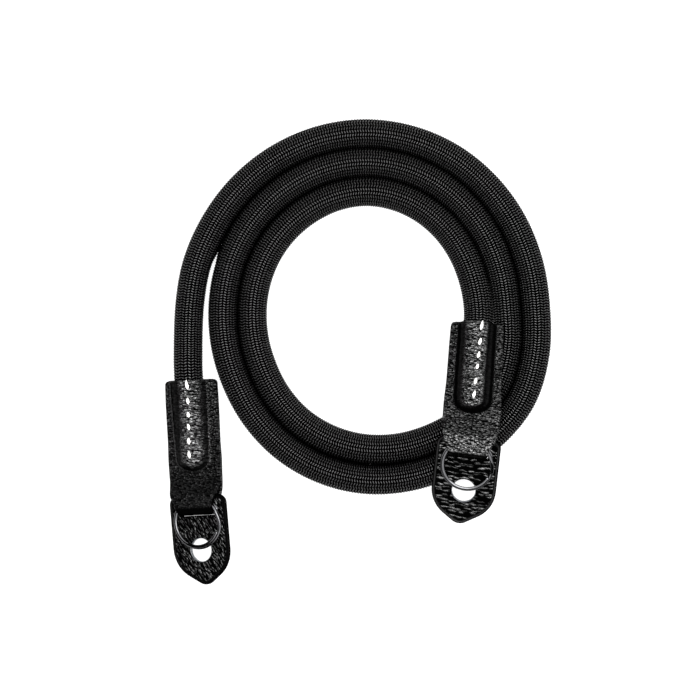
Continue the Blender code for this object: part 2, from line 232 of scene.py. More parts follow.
# How a sleeve is worn and where highlights and shade are painted on it, by distance from the pocket's
# # middle line or the mouth. A fade is a change's width.
SIDE_BLEND = 0.001
CROWN_HIGHLIGHT_FADE = 0.0018
TROUGH_SHADE_GLOSS = 0.08
FOOT_HIGHLIGHT_AT = 0.0070
FOOT_HIGHLIGHT_HALF = 0.0005
FOOT_HIGHLIGHT_PLAIN = 0.8
FLANGE_FROM = 0.0062
FLANGE_FADE = 0.0016
FOLD_FROM = 0.0405
FOLD_FADE = 0.002
DIVE_FROM = 0.0470
DIVE_FADE = 0.0012
DIVE_PAINTED_SHADOW = 0.95
DIVE_PLAIN = 0.75
BACK_GLOSS = 0.6

# The sleeves' pebbles: length, spacing and turn, as a pad's crease.
PEBBLES = (0.00105, 0.00066, 8.0)

# The pad's surface: its net's spacing, the shift of the net's points and their room from the rims as
# shares of that, the rolled edge, and the band pressed round the front: where it starts, then how far in
# and how high its groove and its ridge are.
NET_SPACING = 0.0005
NET_SHIFT = 0.18
NET_SHIFT_SIZE = 0.0003
NET_ROOM = 0.6
OUTLINE_STEP = 0.0005
OPENING_STEP = 0.0004
EDGE_ROLL = 0.0003
BAND_FROM = 0.0013
BAND_GROOVE = (0.00105, -0.00012)
BAND_RIDGE = (0.00075, 0.00003)
RIDGE_GLOSS = 0.4
EDGE_GLOSS = 0.03
SLIT_GAP_BELOW = 0.0001
PAD_LUMP_SIZE = 0.006
PAD_LUMP_HEIGHT = 0.00008
PAD_RIPPLE_SIZE = 0.002
PAD_RIPPLE_HEIGHT = 0.00004

# The ring's step from one coil to the other, as half its angle, and its wire's taper at the two ends.
RING_STEP_DEG = 24
RING_END_TAPER = 0.8

# The lights: name, place, the place they face, side and power.
STRAP_MIDDLE = (0.005, 0.04, 0.0)
LIGHTS = (
    ("ceiling", (0.25, 0.15, 1.75), (0.25, 0.15, 0.0), 3.6, 105.0),
    ("overhead", (0.08, 0.1, 1.7), STRAP_MIDDLE, 1.1, 34.0),
    ("key", (1.2, 1.4, 0.9), STRAP_MIDDLE, 0.8, 12.0),
)
FLOOR_HALF = 3.0


def read_table(table, columns, name, at):
    """A column's values on a smooth curve through its rows: cubic pieces whose slopes are the rows' own."""
    rows = np.array(table, float)
    knots, values = rows[:, 0], rows[:, columns.index(name)]
    slopes = np.gradient(values, knots)
    at = np.clip(np.asarray(at, float), knots[0], knots[-1])
    low = np.clip(np.searchsorted(knots, at, side="right") - 1, 0, len(knots) - 2)
    span = knots[low + 1] - knots[low]
    t = (at - knots[low]) / span
    return (
        values[low] * (1 + 2 * t) * (1 - t) ** 2
        + slopes[low] * span * t * (1 - t) ** 2
        + values[low + 1] * t**2 * (3 - 2 * t)
        + slopes[low + 1] * span * t**2 * (t - 1)
    )


def ease(t):
    """0 below 0, 1 above 1, and 3t² - 2t³ between."""
    t = np.clip(t, 0, 1)
    return t * t * (3 - 2 * t)


def unit(vectors):
    return vectors / np.linalg.norm(vectors, axis=-1, keepdims=True)


class Spine:
    """The middle line of one leather end: straight in its sleeve, bent before the pad, straight again."""

    def __init__(self, end):
        self.along = np.arange(-ROPE_LEAD, FITTING_LENGTH + SPINE_STEP, SPINE_STEP)
        self.pocket_aside = end["pocket_aside"]
        bend = ease((self.along - SLEEVE_BEND_START) / (SLEEVE_BEND_END - SLEEVE_BEND_START))
        lean = np.radians(end["sleeve_lean"] + bend * (end["pad_lean"] - end["sleeve_lean"]))
        pitch = np.radians(end["sleeve_pitch"] + bend * (end["pad_pitch"] - end["sleeve_pitch"]))
        twist = ease(self.along / SLEEVE_BEND_END)
        self.roll = np.radians(end["mouth_roll"] + twist * (end["pad_roll"] - end["mouth_roll"]))
        ahead = [np.cos(pitch) * np.sin(lean), -np.cos(pitch) * np.cos(lean), np.sin(pitch)]
        self.heading = np.stack(ahead, axis=1)
        middle = (self.heading[1:] + self.heading[:-1]) / 2
        steps = np.diff(self.along)[:, None] * middle
        path = np.concatenate([np.zeros((1, 3)), np.cumsum(steps, axis=0)])
        at_mouth = np.array([np.interp(0, self.along, path[:, axis]) for axis in range(3)])
        self.path = path - at_mouth + np.array(end["mouth"])

    def read(self, values, along):
        return np.stack([np.interp(along, self.along, values[:, axis]) for axis in range(3)], axis=-1)

    def frame(self, along):
        """Place, side, heading and normal at the given distances from the mouth."""
        place = self.read(self.path, along)
        heading = unit(self.read(self.heading, along))
        flat_side = unit(np.cross((0, 0, 1), heading))
        upright = np.cross(heading, flat_side)
        roll = np.interp(along, self.along, self.roll)[..., None]
        side = np.cos(roll) * flat_side + np.sin(roll) * upright
        normal = np.cos(roll) * upright - np.sin(roll) * flat_side
        return place, side, heading, normal

    def points(self, across, along, height):
        """World places of points given across, along and above the spine."""
        place, side, _, normal = self.frame(along)
        return place + across[..., None] * side + height[..., None] * normal

    def pocket_axis(self, along):
        """How far the pocket's middle lies beside the strip's: most at the mouth, none at its end."""
        return self.pocket_aside * (1 - np.clip(along / POCKET_LENGTH, 0, 1))

    def on_pad(self, points):
        """World places of points in the pad's frame: X across, Y back to the rope, Z out of its front."""
        place, side, heading, normal = self.frame(np.array([PAD_START]))
        return place[0] + points @ np.stack([side[0], -heading[0], normal[0]])


def add_piece(name, mesh, material, slot, *nodes):
    """A finished piece at the origin, riding on the part's one body and standing for its CAD nodes."""
    mesh.materials.append(material)
    mesh.shade_smooth()
    piece = bpy.data.objects.new(name, mesh)
    bpy.context.scene.collection.objects.link(piece)
    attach(piece, "root")
    if nodes:
        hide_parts(*nodes)
    return piece


def surface_mesh(name, points, faces, uvs=()):
    """A mesh from points and equal-sided faces; uvs are pairs of a map's name and its corners' values."""
    mesh = bpy.data.meshes.new(name)
    corners = faces.shape[1]
    mesh.vertices.add(len(points))
    mesh.vertices.foreach_set("co", points.astype(np.float32).ravel())
    mesh.loops.add(faces.size)
    mesh.loops.foreach_set("vertex_index", faces.astype(np.int32).ravel())
    mesh.polygons.add(len(faces))
    mesh.polygons.foreach_set("loop_start", np.arange(0, faces.size, corners, dtype=np.int32))
    for label, values in uvs:
        layer = mesh.uv_layers.new(name=label)
        layer.data.foreach_set("uv", values.astype(np.float32).reshape(-1, 2).ravel())
    mesh.update(calc_edges=True)
    mesh.validate()
    return mesh


def store_wear_and_sheen(mesh, wear_and_sheen, grained, cut=0.0):
    """Stores for the leather's material how glossy each point is worn, with its painted highlights and shade,
    how far it is grained and whether it lies on a bare cut edge."""
    for label, values in (("wear_and_sheen", wear_and_sheen), ("grained", grained), ("cut", cut)):
        layer = mesh.attributes.new(label, "FLOAT", "POINT")
        layer.data.foreach_set("value", np.broadcast_to(values, len(mesh.vertices)).astype(np.float32))


def loop_faces(rows, around):
    """Quads between neighbouring rings of a tube whose rings close on themselves."""
    row = np.arange(rows - 1)[:, None]
    spot = np.arange(around)[None, :]
    after = (spot + 1) % around
    low, high = row * around, (row + 1) * around
    return np.stack([low + spot, low + after, high + after, high + spot], axis=-1).reshape(-1, 4)


def loop_uvs(u, v):
    """Corner values for loop_faces. A row has one more entry than its ring, so that the seam doesn't fold."""

    def corners(values):
        low, high = values[:-1], values[1:]
        return np.stack([low[:, :-1], low[:, 1:], high[:, 1:], high[:, :-1]], axis=-1)

    return np.stack([corners(np.broadcast_to(u, v.shape)), corners(v)], axis=-1)


# Noise for shapes


def scatter(cells):
    """A steady fraction between 0 and 1 for each whole-numbered cell."""
    mixed = np.sin(cells @ np.array([127.1, 311.7])) * 43758.5453
    return mixed - np.floor(mixed)


def soft_noise(points, scale):
    """Smooth noise from -1 to 1 in the plane: a steady value at each cell's corner, eased between."""
    scaled = points / scale
    cell = np.floor(scaled)
    t = ease(scaled - cell)
    total = 0.0
    for corner in np.ndindex(2, 2):
        weight = np.prod(np.where(np.array(corner) == 1, t, 1 - t), axis=-1)
        total = total + weight * scatter(cell + corner)
    return 2 * total - 1


# Shader maths


class Value:
    """A shader socket that adds a Math node for each step of an expression."""

    def __init__(self, finish, socket):
        self.finish = finish
        self.socket = socket

    def maths(self, operation, *terms):
        return self.finish.node("ShaderNodeMath", {"operation": operation}, *terms)

    def __add__(self, other):
        return self.maths("ADD", self, other)

    __radd__ = __add__

    def __mul__(self, other):
        return self.maths("MULTIPLY", self, other)

    __rmul__ = __mul__

    def __sub__(self, other):
        return self.maths("SUBTRACT", self, other)

    def __rsub__(self, other):
        return self.maths("SUBTRACT", other, self)

    def through(self, operation):
        return self.maths(operation, self)

    def at_least(self, other):
        return self.maths("MAXIMUM", self, other)

    def between(self, low, high, start=0.0, end=1.0):
        """start below low, end above high, and a smooth step between."""
        smooth = {"interpolation_type": "SMOOTHSTEP"}
        return self.finish.node("ShaderNodeMapRange", smooth, self, low, high, start, end)


class Finish:
    """One material: a Principled shader and the nodes that feed it."""

    def __init__(self, name, **constants):
        self.material = bpy.data.materials.new(name)
        self.material.use_nodes = True
        self.tree = self.material.node_tree
        self.shader = self.tree.nodes["Principled BSDF"]
        self.set(self.shader, constants)

    def set(self, shader, constants):
        for label, value in constants.items():
            shader.inputs[label.replace("_", " ")].default_value = value

    def mix_painted_shade(self, share, colour):
        """Mixes in a matte shader of the given colour where share is 0: painted shade for hollows that no
        sheen reaches.
        """
        matte = self.tree.nodes.new("ShaderNodeBsdfPrincipled")
        self.set(matte, {"Base_Color": (*colour, 1), "Roughness": 1.0, "Specular_IOR_Level": 0.0})
        shaders = [Value(self, node.outputs["BSDF"]) for node in (matte, self.shader)]
        mixed = self.node("ShaderNodeMixShader", {}, share, *shaders)
        surface = self.tree.nodes["Material Output"].inputs["Surface"]
        self.tree.links.new(mixed.socket, surface)

    def node(self, kind, settings, *inputs, output=0, **named):
        """A node of a kind with its settings, its sockets' values or links in order or by name."""
        node = self.tree.nodes.new(kind)
        for label, value in settings.items():
            setattr(node, label, value)
        usable = [socket for socket in node.inputs if socket.enabled]
        pairs = list(zip(usable, inputs))
        pairs += [
            (next(s for s in usable if s.name == label.replace("_", " ")), value)
            for label, value in named.items()
        ]
        for socket, value in pairs:
            if isinstance(value, Value):
                self.tree.links.new(value.socket, socket)
            else:
                socket.default_value = value
        outputs = [socket for socket in node.outputs if socket.enabled]
        return Value(self, outputs[output])

    def blend(self, share, low, high):
        """A colour between two, by share."""
        low, high = (end if isinstance(end, Value) else (*end, 1) for end in (low, high))
        return self.node("ShaderNodeMix", {"data_type": "RGBA"}, share, low, high)

    def split(self, vector):
        """The three numbers of a vector."""
        parts = self.node("ShaderNodeSeparateXYZ", {}, vector)
        return [Value(self, socket) for socket in parts.socket.node.outputs]

    def join(self, x, y):
        return self.node("ShaderNodeCombineXYZ", {}, x, y)

    def bump(self, height, distance):
        return self.node("ShaderNodeBump", {}, Strength=1.0, Distance=distance, Height=height)

    def feed(self, label, value):
        self.tree.links.new(value.socket, self.shader.inputs[label])


def rope_finish():
    """Black nylon braid: zigzag rows of slanted strands, with painted shade dark in the gaps between rows and
    columns.
    """
    rope = Finish("black_braid", Roughness=0.4, Specular_IOR_Level=0.6)
    place = rope.node("ShaderNodeUVMap", {"uv_map": "braid"})
    columns, rows, _ = rope.split(place)
    zigzag = BRAID_SLANT * ((columns * 0.5).through("FRACT") * 2 - 1).through("ABSOLUTE")
    wave = ((rows + zigzag) * (2 * pi)).through("COSINE") * 0.5 + 0.5
    ridge = wave.between(0.28, 0.95)
    inside = (columns.through("FRACT") * pi).through("SINE")
    strand = ridge * inside.between(0.15, 0.75, 0.1, 1.0)
    where = rope.node("ShaderNodeTexCoord", {}, output=3)
    patch = rope.node("ShaderNodeTexNoise", {}, where, Scale=900.0, Detail=2.0)
    painted_shade_factor = rope.node("ShaderNodeAttribute", {"attribute_name": "painted_shade_factor"}, output=2)
    # Painted shade: the tone is dark in the gaps between strands and in the valleys where turns touch; the
    # patch noise is tone that differs at random.
    tone_and_shade = strand * patch.between(0.3, 0.75, 0.6, 1.0) * painted_shade_factor
    rope.feed("Base Color", rope.blend(tone_and_shade, (0.0002, 0.0002, 0.0002), (0.017, 0.0168, 0.017)))
    # Painted shade: a near-black matte shader where the tone is low.
    rope.mix_painted_shade(tone_and_shade.between(0.05, 0.75), (0.0001, 0.0001, 0.0001))
    yarn = rope.node("ShaderNodeTexNoise", {}, where, Scale=5200.0, Detail=3.0)
    rope.feed("Normal", rope.bump(strand + yarn * 0.2, 0.0003))
    return rope.material


def leather_finish(name, length, spacing, turn_deg, narrow, relief, low, shine, ior):
    """Grained leather: wrinkles of a length and spacing, turned one way on the hide, shiny on their tops with
    a painted highlight, and painted shade black between them. Each is a dome over its cell's middle, falling
    off sideways as fast as narrow says and shining from low upwards. The mesh says how glossy each place is
    worn, with its painted highlights and shade, how far it is grained and where it is cut."""
    leather = Finish(name, Roughness=shine, Specular_IOR_Level=0.9, IOR=ior)
    place = leather.node("ShaderNodeUVMap", {"uv_map": "hide"})
    across, along, _ = leather.split(place)
    turn = turn_deg * pi / 180
    lengthways = (across * cos(turn) + along * sin(turn)) * (1 / length)
    sideways = (along * cos(turn) - across * sin(turn)) * (1 / spacing)
    turned = leather.join(lengthways, sideways)
    warp = leather.node("ShaderNodeTexNoise", {}, turned, Scale=0.55, Detail=2.0, output=1)
    bent = leather.node("ShaderNodeVectorMath", {"operation": "MULTIPLY_ADD"}, warp, (1.2, 1.7, 0), turned)
    cells = {"feature": "F1", "voronoi_dimensions": "2D"}
    tint = leather.node("ShaderNodeTexVoronoi", cells, bent, Scale=1.0, Randomness=0.8, output=1)
    middle = leather.node("ShaderNodeTexVoronoi", cells, bent, Scale=1.0, Randomness=0.8, output=2)
    offset = leather.node("ShaderNodeVectorMath", {"operation": "SUBTRACT"}, bent, middle)
    off_x, off_y, _ = leather.split(offset)
    dome = 1.0 - off_x * off_x * 1.3 - off_y * off_y * narrow
    lot, _, _ = leather.split(tint)
    fine = leather.node("ShaderNodeTexNoise", {}, bent, Scale=3.2, Detail=2.0)
    patch = leather.node("ShaderNodeTexNoise", {}, place, Scale=0.8 / spacing, Detail=2.0)
    wear_and_sheen = leather.node("ShaderNodeAttribute", {"attribute_name": "wear_and_sheen"}, output=2)
    grained = leather.node("ShaderNodeAttribute", {"attribute_name": "grained"}, output=2)
    cut = leather.node("ShaderNodeAttribute", {"attribute_name": "cut"}, output=2)
    # Painted highlight on the wrinkles' tops and painted shade between them; patch and lot are tone that
    # differs at random.
    top_highlight_and_tone = (dome + fine * 0.6 - 0.3).between(low, 1.0) * patch.between(0.32, 0.62, 0.6, 1.0)
    top_highlight_and_tone = top_highlight_and_tone * lot.between(0.1, 0.9, 0.25, 1.0)
    share = wear_and_sheen * (grained * top_highlight_and_tone + (1.0 - grained) * 0.5)
    # Painted shade: a near-black matte shader where the share is low.
    leather.mix_painted_shade(share.at_least(cut), (0.0004, 0.0004, 0.0004))
    skin_and_painted_light = leather.blend(share, (0.0006, 0.0006, 0.0006), (0.02, 0.02, 0.02))
    leather.feed("Base Color", leather.blend(cut, skin_and_painted_light, (0.05, 0.056, 0.064)))
    height = (dome * 0.8 + fine * 0.35) * grained
    leather.feed("Normal", leather.bump(height, relief))
    return leather.material


def metal_finish():
    """Black nickel wire, bright where it is polished, with faint marks of wear."""
    metal = Finish("black_nickel", Metallic=1.0)
    where = metal.node("ShaderNodeTexCoord", {}, output=3)
    wear_and_sheen = metal.node("ShaderNodeTexNoise", {}, where, Scale=700.0, Detail=3.0)
    metal.feed("Base Color", metal.blend(wear_and_sheen, (0.06, 0.06, 0.063), (0.11, 0.11, 0.114)))
    metal.feed("Roughness", wear_and_sheen.between(0.35, 0.7, 0.1, 0.18))
    return metal.material


def thread_finish():
    """White waxed thread: two plies twisted together."""
    thread = Finish("white_thread", Roughness=0.6)
    place = thread.node("ShaderNodeUVMap", {"uv_map": "twist"})
    around, along, _ = thread.split(place)
    ply = ((around * 2 + along) * (2 * pi)).through("COSINE") * 0.5 + 0.5
    thread.feed("Base Color", thread.blend(ply, (0.72, 0.70, 0.66), (0.93, 0.92, 0.9)))
    return thread.material


# The rope


def rope_route(spines):
    """The route's points: up the right sleeve, round the coil, and down into the left sleeve."""
    inside = np.linspace(POCKET_LENGTH, -ROPE_LEAD, 4)
    first, last = (
        spine.points(spine.pocket_axis(run), run, 0 * run)
        for spine, run in ((spines["right"], inside), (spines["left"], inside[::-1]))
    )
    turn = np.arange(COIL_STEP_DEG, COIL_TABLE[-1][0] + 1, COIL_STEP_DEG)
    radius = COIL_RADIUS + TURN_PITCH * read_table(COIL_TABLE, COIL_COLUMNS, "spread", turn)
    lift = read_table(COIL_TABLE, COIL_COLUMNS, "lift", turn)
    height = ROPE_DIAMETER / 2 + lift * (RIGHT_MOUTH_HEIGHT - ROPE_DIAMETER / 2)
    angle = np.radians(turn)
    x = COIL_CENTRE[0] + radius * np.cos(angle)
    y = COIL_CENTRE[1] + radius * np.sin(angle)
    coil = np.stack([x, y, height], axis=1)
    rise = (last[0][2] - ROPE_DIAMETER / 2) / (len(LEFT_RUN) + 1)
    run = [(x, y, ROPE_DIAMETER / 2 + row * rise) for row, (x, y) in enumerate(LEFT_RUN)]
    return np.concatenate([first, coil, run, last])


def smooth_line(points, step):
    """Points a step apart on cubic pieces through the given ones, whose slopes are the points' own."""
    knots = np.concatenate([[0], np.cumsum(np.linalg.norm(np.diff(points, axis=0), axis=1))])
    fine = np.linspace(0, knots[-1], int(knots[-1] / 0.0002))
    names = ("knot", "x", "y", "z")
    table = [(knot, *point) for knot, point in zip(knots, points)]
    line = np.stack([read_table(table, names, name, fine) for name in names[1:]], axis=1)
    run = np.concatenate([[0], np.cumsum(np.linalg.norm(np.diff(line, axis=0), axis=1))])
    even = np.linspace(0, run[-1], int(run[-1] / step) + 1)
    return even, np.stack([np.interp(even, run, line[:, axis]) for axis in range(3)], axis=1)


def contacts(line, side, reach):
    """How far each place of the rope swells towards a neighbouring turn that it touches, right and left,
    and how close it lies to one, right and left, which sets the shade painted into the valley between them."""
    apart = line[None, :, :2] - line[:, None, :2]
    distance = np.linalg.norm(apart, axis=2)
    lateral = np.einsum("ijk,ik->ij", apart, side[:, :2])
    near = np.abs(reach[None] - reach[:, None]) < SAME_TURN
    near |= np.abs(line[None, :, 2] - line[:, None, 2]) > ROPE_DIAMETER / 2
    groove = BRAID_DIAMETER / 2 - BRAID_RELIEF
    stretch, valley_shade = [], []
    for facing in (1, -1):
        room = np.where(near | (lateral * facing < 0), FAR_AWAY, distance).min(axis=1)
        wanted = (room / 2 + CONTACT_OVERLAP) / groove
        stretch.append(np.where(room < CONTACT_REACH, np.clip(wanted, 1.0, SWELL_MOST), 1.0))
        # Painted shade: how close a neighbouring turn lies, for darkening the valley's colour.
        valley_shade.append(ease((VALLEY_SHADE_REACH - room) / (VALLEY_SHADE_REACH - CONTACT_REACH)))
    window = np.ones(CONTACT_ROWS) / CONTACT_ROWS
    return [
        np.convolve(np.pad(values, CONTACT_ROWS // 2, mode="edge"), window, mode="valid")
        for values in stretch + valley_shade
    ]


def build_rope(spines, material):
    """The braided rope. Each ring of points is one zigzag line along a row's crest or valley, so a point at
    angle a lies at the row's distance less the zigzag's share, at radius mean + half the relief · wave.
    The first and last rings shrink to a point, and nothing lies below the floor."""
    reach, line = smooth_line(rope_route(spines), BRAID_ROW / 2)
    heading = unit(np.gradient(line, reach, axis=0))
    side = unit(np.cross((0, 0, 1), heading))
    upright = np.cross(heading, side)
    around = 2 * BRAID_COLUMNS
    columns = np.arange(around + 1) / 2
    zigzag = BRAID_SLANT * np.abs(2 * ((columns / 2) % 1) - 1)
    at = reach[:, None] - (zigzag[None, :around] - BRAID_SLANT / 2) * BRAID_ROW
    angle = 2 * pi * columns[:around] / BRAID_COLUMNS
    crest = np.cos(pi * np.arange(len(reach)))[:, None]
    in_column = np.arange(around) % 2 == 1
    wave = np.where(in_column, crest, SEAM_WAVE * crest - SEAM_DROP)
    radius = BRAID_DIAMETER / 2 - BRAID_RELIEF / 2 + BRAID_RELIEF / 2 * wave

    right, left, shade_right, shade_left = contacts(line, side, reach)
    lateral = np.sin(angle)[None, :]
    swell = np.where(lateral > 0, np.interp(at, reach, right), np.interp(at, reach, left)) - 1
    valley_shade = np.where(lateral > 0, np.interp(at, reach, shade_right), np.interp(at, reach, shade_left))
    # Painted shade: the rope's colour is darkened towards its sides where a neighbouring turn lies close.
    painted_shade_factor = 1 - VALLEY_SHADE_DARK * valley_shade * ease((np.abs(lateral) - VALLEY_SHADE_FROM) / VALLEY_SHADE_OVER)
    spread = lateral * (1 + swell * ease((np.abs(lateral) - SWELL_FROM) / SWELL_OVER))

    def read(values):
        return np.stack([np.interp(at, reach, values[:, axis]) for axis in range(3)], axis=-1)

    spokes = np.cos(angle)[None, :, None] * read(upright) + spread[..., None] * read(side)
    points = read(line) + radius[..., None] * spokes
    points[..., 2] = np.maximum(points[..., 2], FLOOR_GAP)
    points[0] = line[0]
    points[-1] = line[-1]
    faces = loop_faces(len(reach), around)[:, ::-1]
    rows = np.arange(len(reach))[:, None] / 2 - zigzag[None, :]
    braid = loop_uvs(columns, rows)[..., ::-1, :]
    mesh = surface_mesh("rope_braid", points.reshape(-1, 3), faces, [("braid", braid)])
    layer = mesh.attributes.new("painted_shade_factor", "FLOAT", "POINT")
    layer.data.foreach_set("value", painted_shade_factor.astype(np.float32).ravel())
    rope = add_piece("rope_braid", mesh, material, "rope", "rope")


# The sleeves


def pocket_foot():
    """Half the pocket's width where its fillet meets the flange, on the leather's middle surface."""
    return np.sqrt((CREST + POCKET_FILLET) ** 2 - (LEVEL + POCKET_FILLET) ** 2)


def pocket_height(distance):
    """The pocket's section: a round over the rope, a hollow fillet at its foot, and the flat flange."""
    foot = pocket_foot()
    meet = foot * CREST / (CREST + POCKET_FILLET)
    over = np.sqrt(np.maximum(CREST**2 - distance**2, 0))
    fillet = LEVEL + POCKET_FILLET - np.sqrt(np.maximum(POCKET_FILLET**2 - (foot - distance) ** 2, 0))
    return np.where(distance < meet, over, np.where(distance < foot, fillet, LEVEL))


def ring_height():
    return 2 * RING_WIRE_HEIGHT + RING_COIL_GAP


def half_width(along):
    """Half the strip's width, with its corners rounded at the mouth."""
    share = read_table(STRIP_TABLE, STRIP_COLUMNS, "width", along / SLIT_AT)
    into = CORNER_RADIUS - np.minimum(along, CORNER_RADIUS)
    corner = CORNER_RADIUS - np.sqrt(np.maximum(CORNER_RADIUS**2 - into**2, 0))
    return SLEEVE_WIDTH / 2 * share - corner


def strip_line(step):
    """Rows of the strip, front mouth to back mouth: distance from the mouth, height, side and run."""
    front = PAD_THICKNESS / 2 + PIECE_GAP + ring_height() + RING_COVER_GAP + LEATHER / 2
    back = PAD_THICKNESS / 2 + PIECE_GAP + LEATHER / 2
    dive_start = SLIT_AT - DIVE_REACH
    turn_start = SLIT_AT - RETURN_REACH
    forth = np.linspace(0, dive_start, int(dive_start / step))
    back_again = np.linspace(0, turn_start, int(turn_start / step))
    over = LEVEL + (front - LEVEL) * read_table(STRIP_TABLE, STRIP_COLUMNS, "over", forth / SLIT_AT)
    under = LEVEL + (back - LEVEL) * read_table(STRIP_TABLE, STRIP_COLUMNS, "under", back_again / SLIT_AT)
    dive = np.radians(np.linspace(0, 90, 15)[1:])
    turn = np.radians(np.linspace(0, 90, 11)[1:])
    diving = SLIT_AT - DIVE_REACH * (1 - np.sin(dive))
    turning = SLIT_AT - RETURN_REACH * (1 - np.cos(turn))
    along = np.concatenate([forth, diving, turning, back_again[::-1][1:]])
    height = np.concatenate([over, front * np.cos(dive), -back * np.sin(turn), -under[::-1][1:]])
    facing = np.where(np.arange(len(along)) < len(forth) + len(dive), 1.0, -1.0)
    run = np.concatenate([[0], np.cumsum(np.hypot(np.diff(along), np.diff(height)))])
    return along, height, facing, run


def sleeve_wear_and_sheen(end, from_axis, past_pocket, along, front):
    """How glossy each place of a sleeve is, by wear and by painted light, and how far it is grained: a
    painted highlight on the pocket's crown, painted shade in the troughs beside it, a smooth painted
    highlight line along the left foot, half matte on the flanges in painted shade that is deeper on the left
    end, more or less glossy over the ring with a painted highlight on the right end, a painted shadow where
    the strip dives into the slit, and even on the back."""
    apart = np.hypot(from_axis, past_pocket)
    half_left, half_right = end["crown_half"]
    half = half_left + (half_right - half_left) * ease((from_axis + SIDE_BLEND) / (2 * SIDE_BLEND))
    # Painted highlight on the pocket's crown, reaching further to one side than the other.
    crown_highlight = 1 - ease((apart - half) / CROWN_HIGHLIGHT_FADE)
    flange = ease((apart - FLANGE_FROM) / FLANGE_FADE)
    # Painted shade in the troughs beside the pocket, weaker in the right one on the left end.
    trough = (1 - crown_highlight - flange) * np.where(from_axis > 0, end["trough_right"], 1.0)
    fold = ease((along - FOLD_FROM) / FOLD_FADE)
    dive = ease((along - DIVE_FROM) / DIVE_FADE)
    # Painted sheen: half matte on the flanges, darker on the left end, and a painted highlight over the ring
    # on the right end.
    flange_gloss = end["flange_gloss"] + (end["fold_gloss"] - end["flange_gloss"]) * fold
    gloss_with_painted_light = (1 - flange - trough) + flange * flange_gloss + TROUGH_SHADE_GLOSS * trough
    # Painted highlight: a smooth light line along the pocket's left foot.
    line = end["foot_line"] * np.exp(-(((apart - FOOT_HIGHLIGHT_AT) / FOOT_HIGHLIGHT_HALF) ** 2))
    line = line * ease(-from_axis / SIDE_BLEND)
    # Painted shadow: dark where the strip dives into the slit.
    wear_and_sheen = np.where(front, np.maximum(gloss_with_painted_light, line) * (1 - DIVE_PAINTED_SHADOW * dive), BACK_GLOSS)
    plain = np.maximum(end["trough_plain"] * trough, DIVE_PLAIN * dive)
    return wear_and_sheen, np.where(front, (1 - plain) * (1 - FOOT_HIGHLIGHT_PLAIN * line), 1.0)


def build_sleeve(side, spine, end, material):
    """One strip of leather with its wall: the middle surface is the pocket's section carried along the
    strip, and each row's ring goes over its outside, round one cut edge, back inside and round the other.
    Its first and last rows close in on the middle surface by a quarter circle."""
    seed = end["seed"] * 0.1
    along, height, facing, run = strip_line(SLEEVE_ROW)
    share = np.linspace(-1, 1, FRONT_POINTS)
    across = half_width(along)[:, None] * share[None, :]
    along_grid = np.repeat(along[:, None], len(share), axis=1)
    run_grid = np.repeat(run[:, None], len(share), axis=1)
    past_pocket = POCKET_END_STEEPNESS * np.maximum(along_grid - POCKET_LENGTH, 0)
    from_axis = across - spine.pocket_axis(along_grid)
    bump = pocket_height(np.hypot(from_axis, past_pocket)) - LEVEL
    lumps = soft_noise(np.stack([across, run_grid + seed], axis=-1), LUMP_SIZE)
    ripples = soft_noise(np.stack([across, run_grid + 2 * seed], axis=-1), RIPPLE_SIZE)
    settle = LUMP_HEIGHT * lumps + RIPPLE_HEIGHT * ripples
    surface = spine.points(across, along_grid, height[:, None] + facing[:, None] * bump)
    by_row = np.gradient(surface, axis=0)
    by_column = np.gradient(surface, axis=1)
    normal = unit(np.cross(by_row, by_column))
    outward = unit(by_column)

    rim = np.radians(np.linspace(90, -90, RIM_POINTS))[1:-1]
    outer = np.arange(len(share))
    inner = np.linspace(len(share) - 1, 0, BACK_POINTS).round().astype(int)
    spots = np.concatenate([outer, np.full(len(rim), outer[-1]), inner, np.zeros(len(rim), int)])
    lift = np.concatenate([np.ones(len(outer)), np.sin(rim), -np.ones(len(inner)), -np.sin(rim)])
    lift = np.sign(lift) * np.abs(lift) ** RIM_POWER
    bulge = np.concatenate([np.zeros(len(outer)), np.cos(rim), np.zeros(len(inner)), -np.cos(rim)])
    wall = np.ones((len(along), 1))
    wall[:MOUTH_ROWS, 0] = np.sqrt(1 - np.linspace(1, 0, MOUTH_ROWS) ** 2)
    wall[-MOUTH_ROWS:] = wall[:MOUTH_ROWS][::-1]
    outside = np.arange(len(spots)) < len(outer)
    rise = wall * lift * LEATHER / 2 + outside * settle[:, spots] * wall
    reach = wall * bulge * RIM_BULGE
    points = surface[:, spots] + rise[..., None] * normal[:, spots] + reach[..., None] * outward[:, spots]

    u = np.concatenate([across[:, spots], across[:, :1]], axis=1)
    v = np.repeat(run[:, None], len(spots) + 1, axis=1) + seed
    name = f"{side}_sleeve_leather"
    faces = loop_faces(len(along), len(spots))
    mesh = surface_mesh(name, points.reshape(-1, 3), faces, [("hide", loop_uvs(u, v))])
    wear_and_sheen, grained = sleeve_wear_and_sheen(end, from_axis, past_pocket, along_grid, facing[:, None] > 0)
    store_wear_and_sheen(mesh, wear_and_sheen[:, spots].ravel(), grained[:, spots].ravel())
    add_piece(name, mesh, material, "sleeve_leather", f"{side}_sleeve")


# The pads


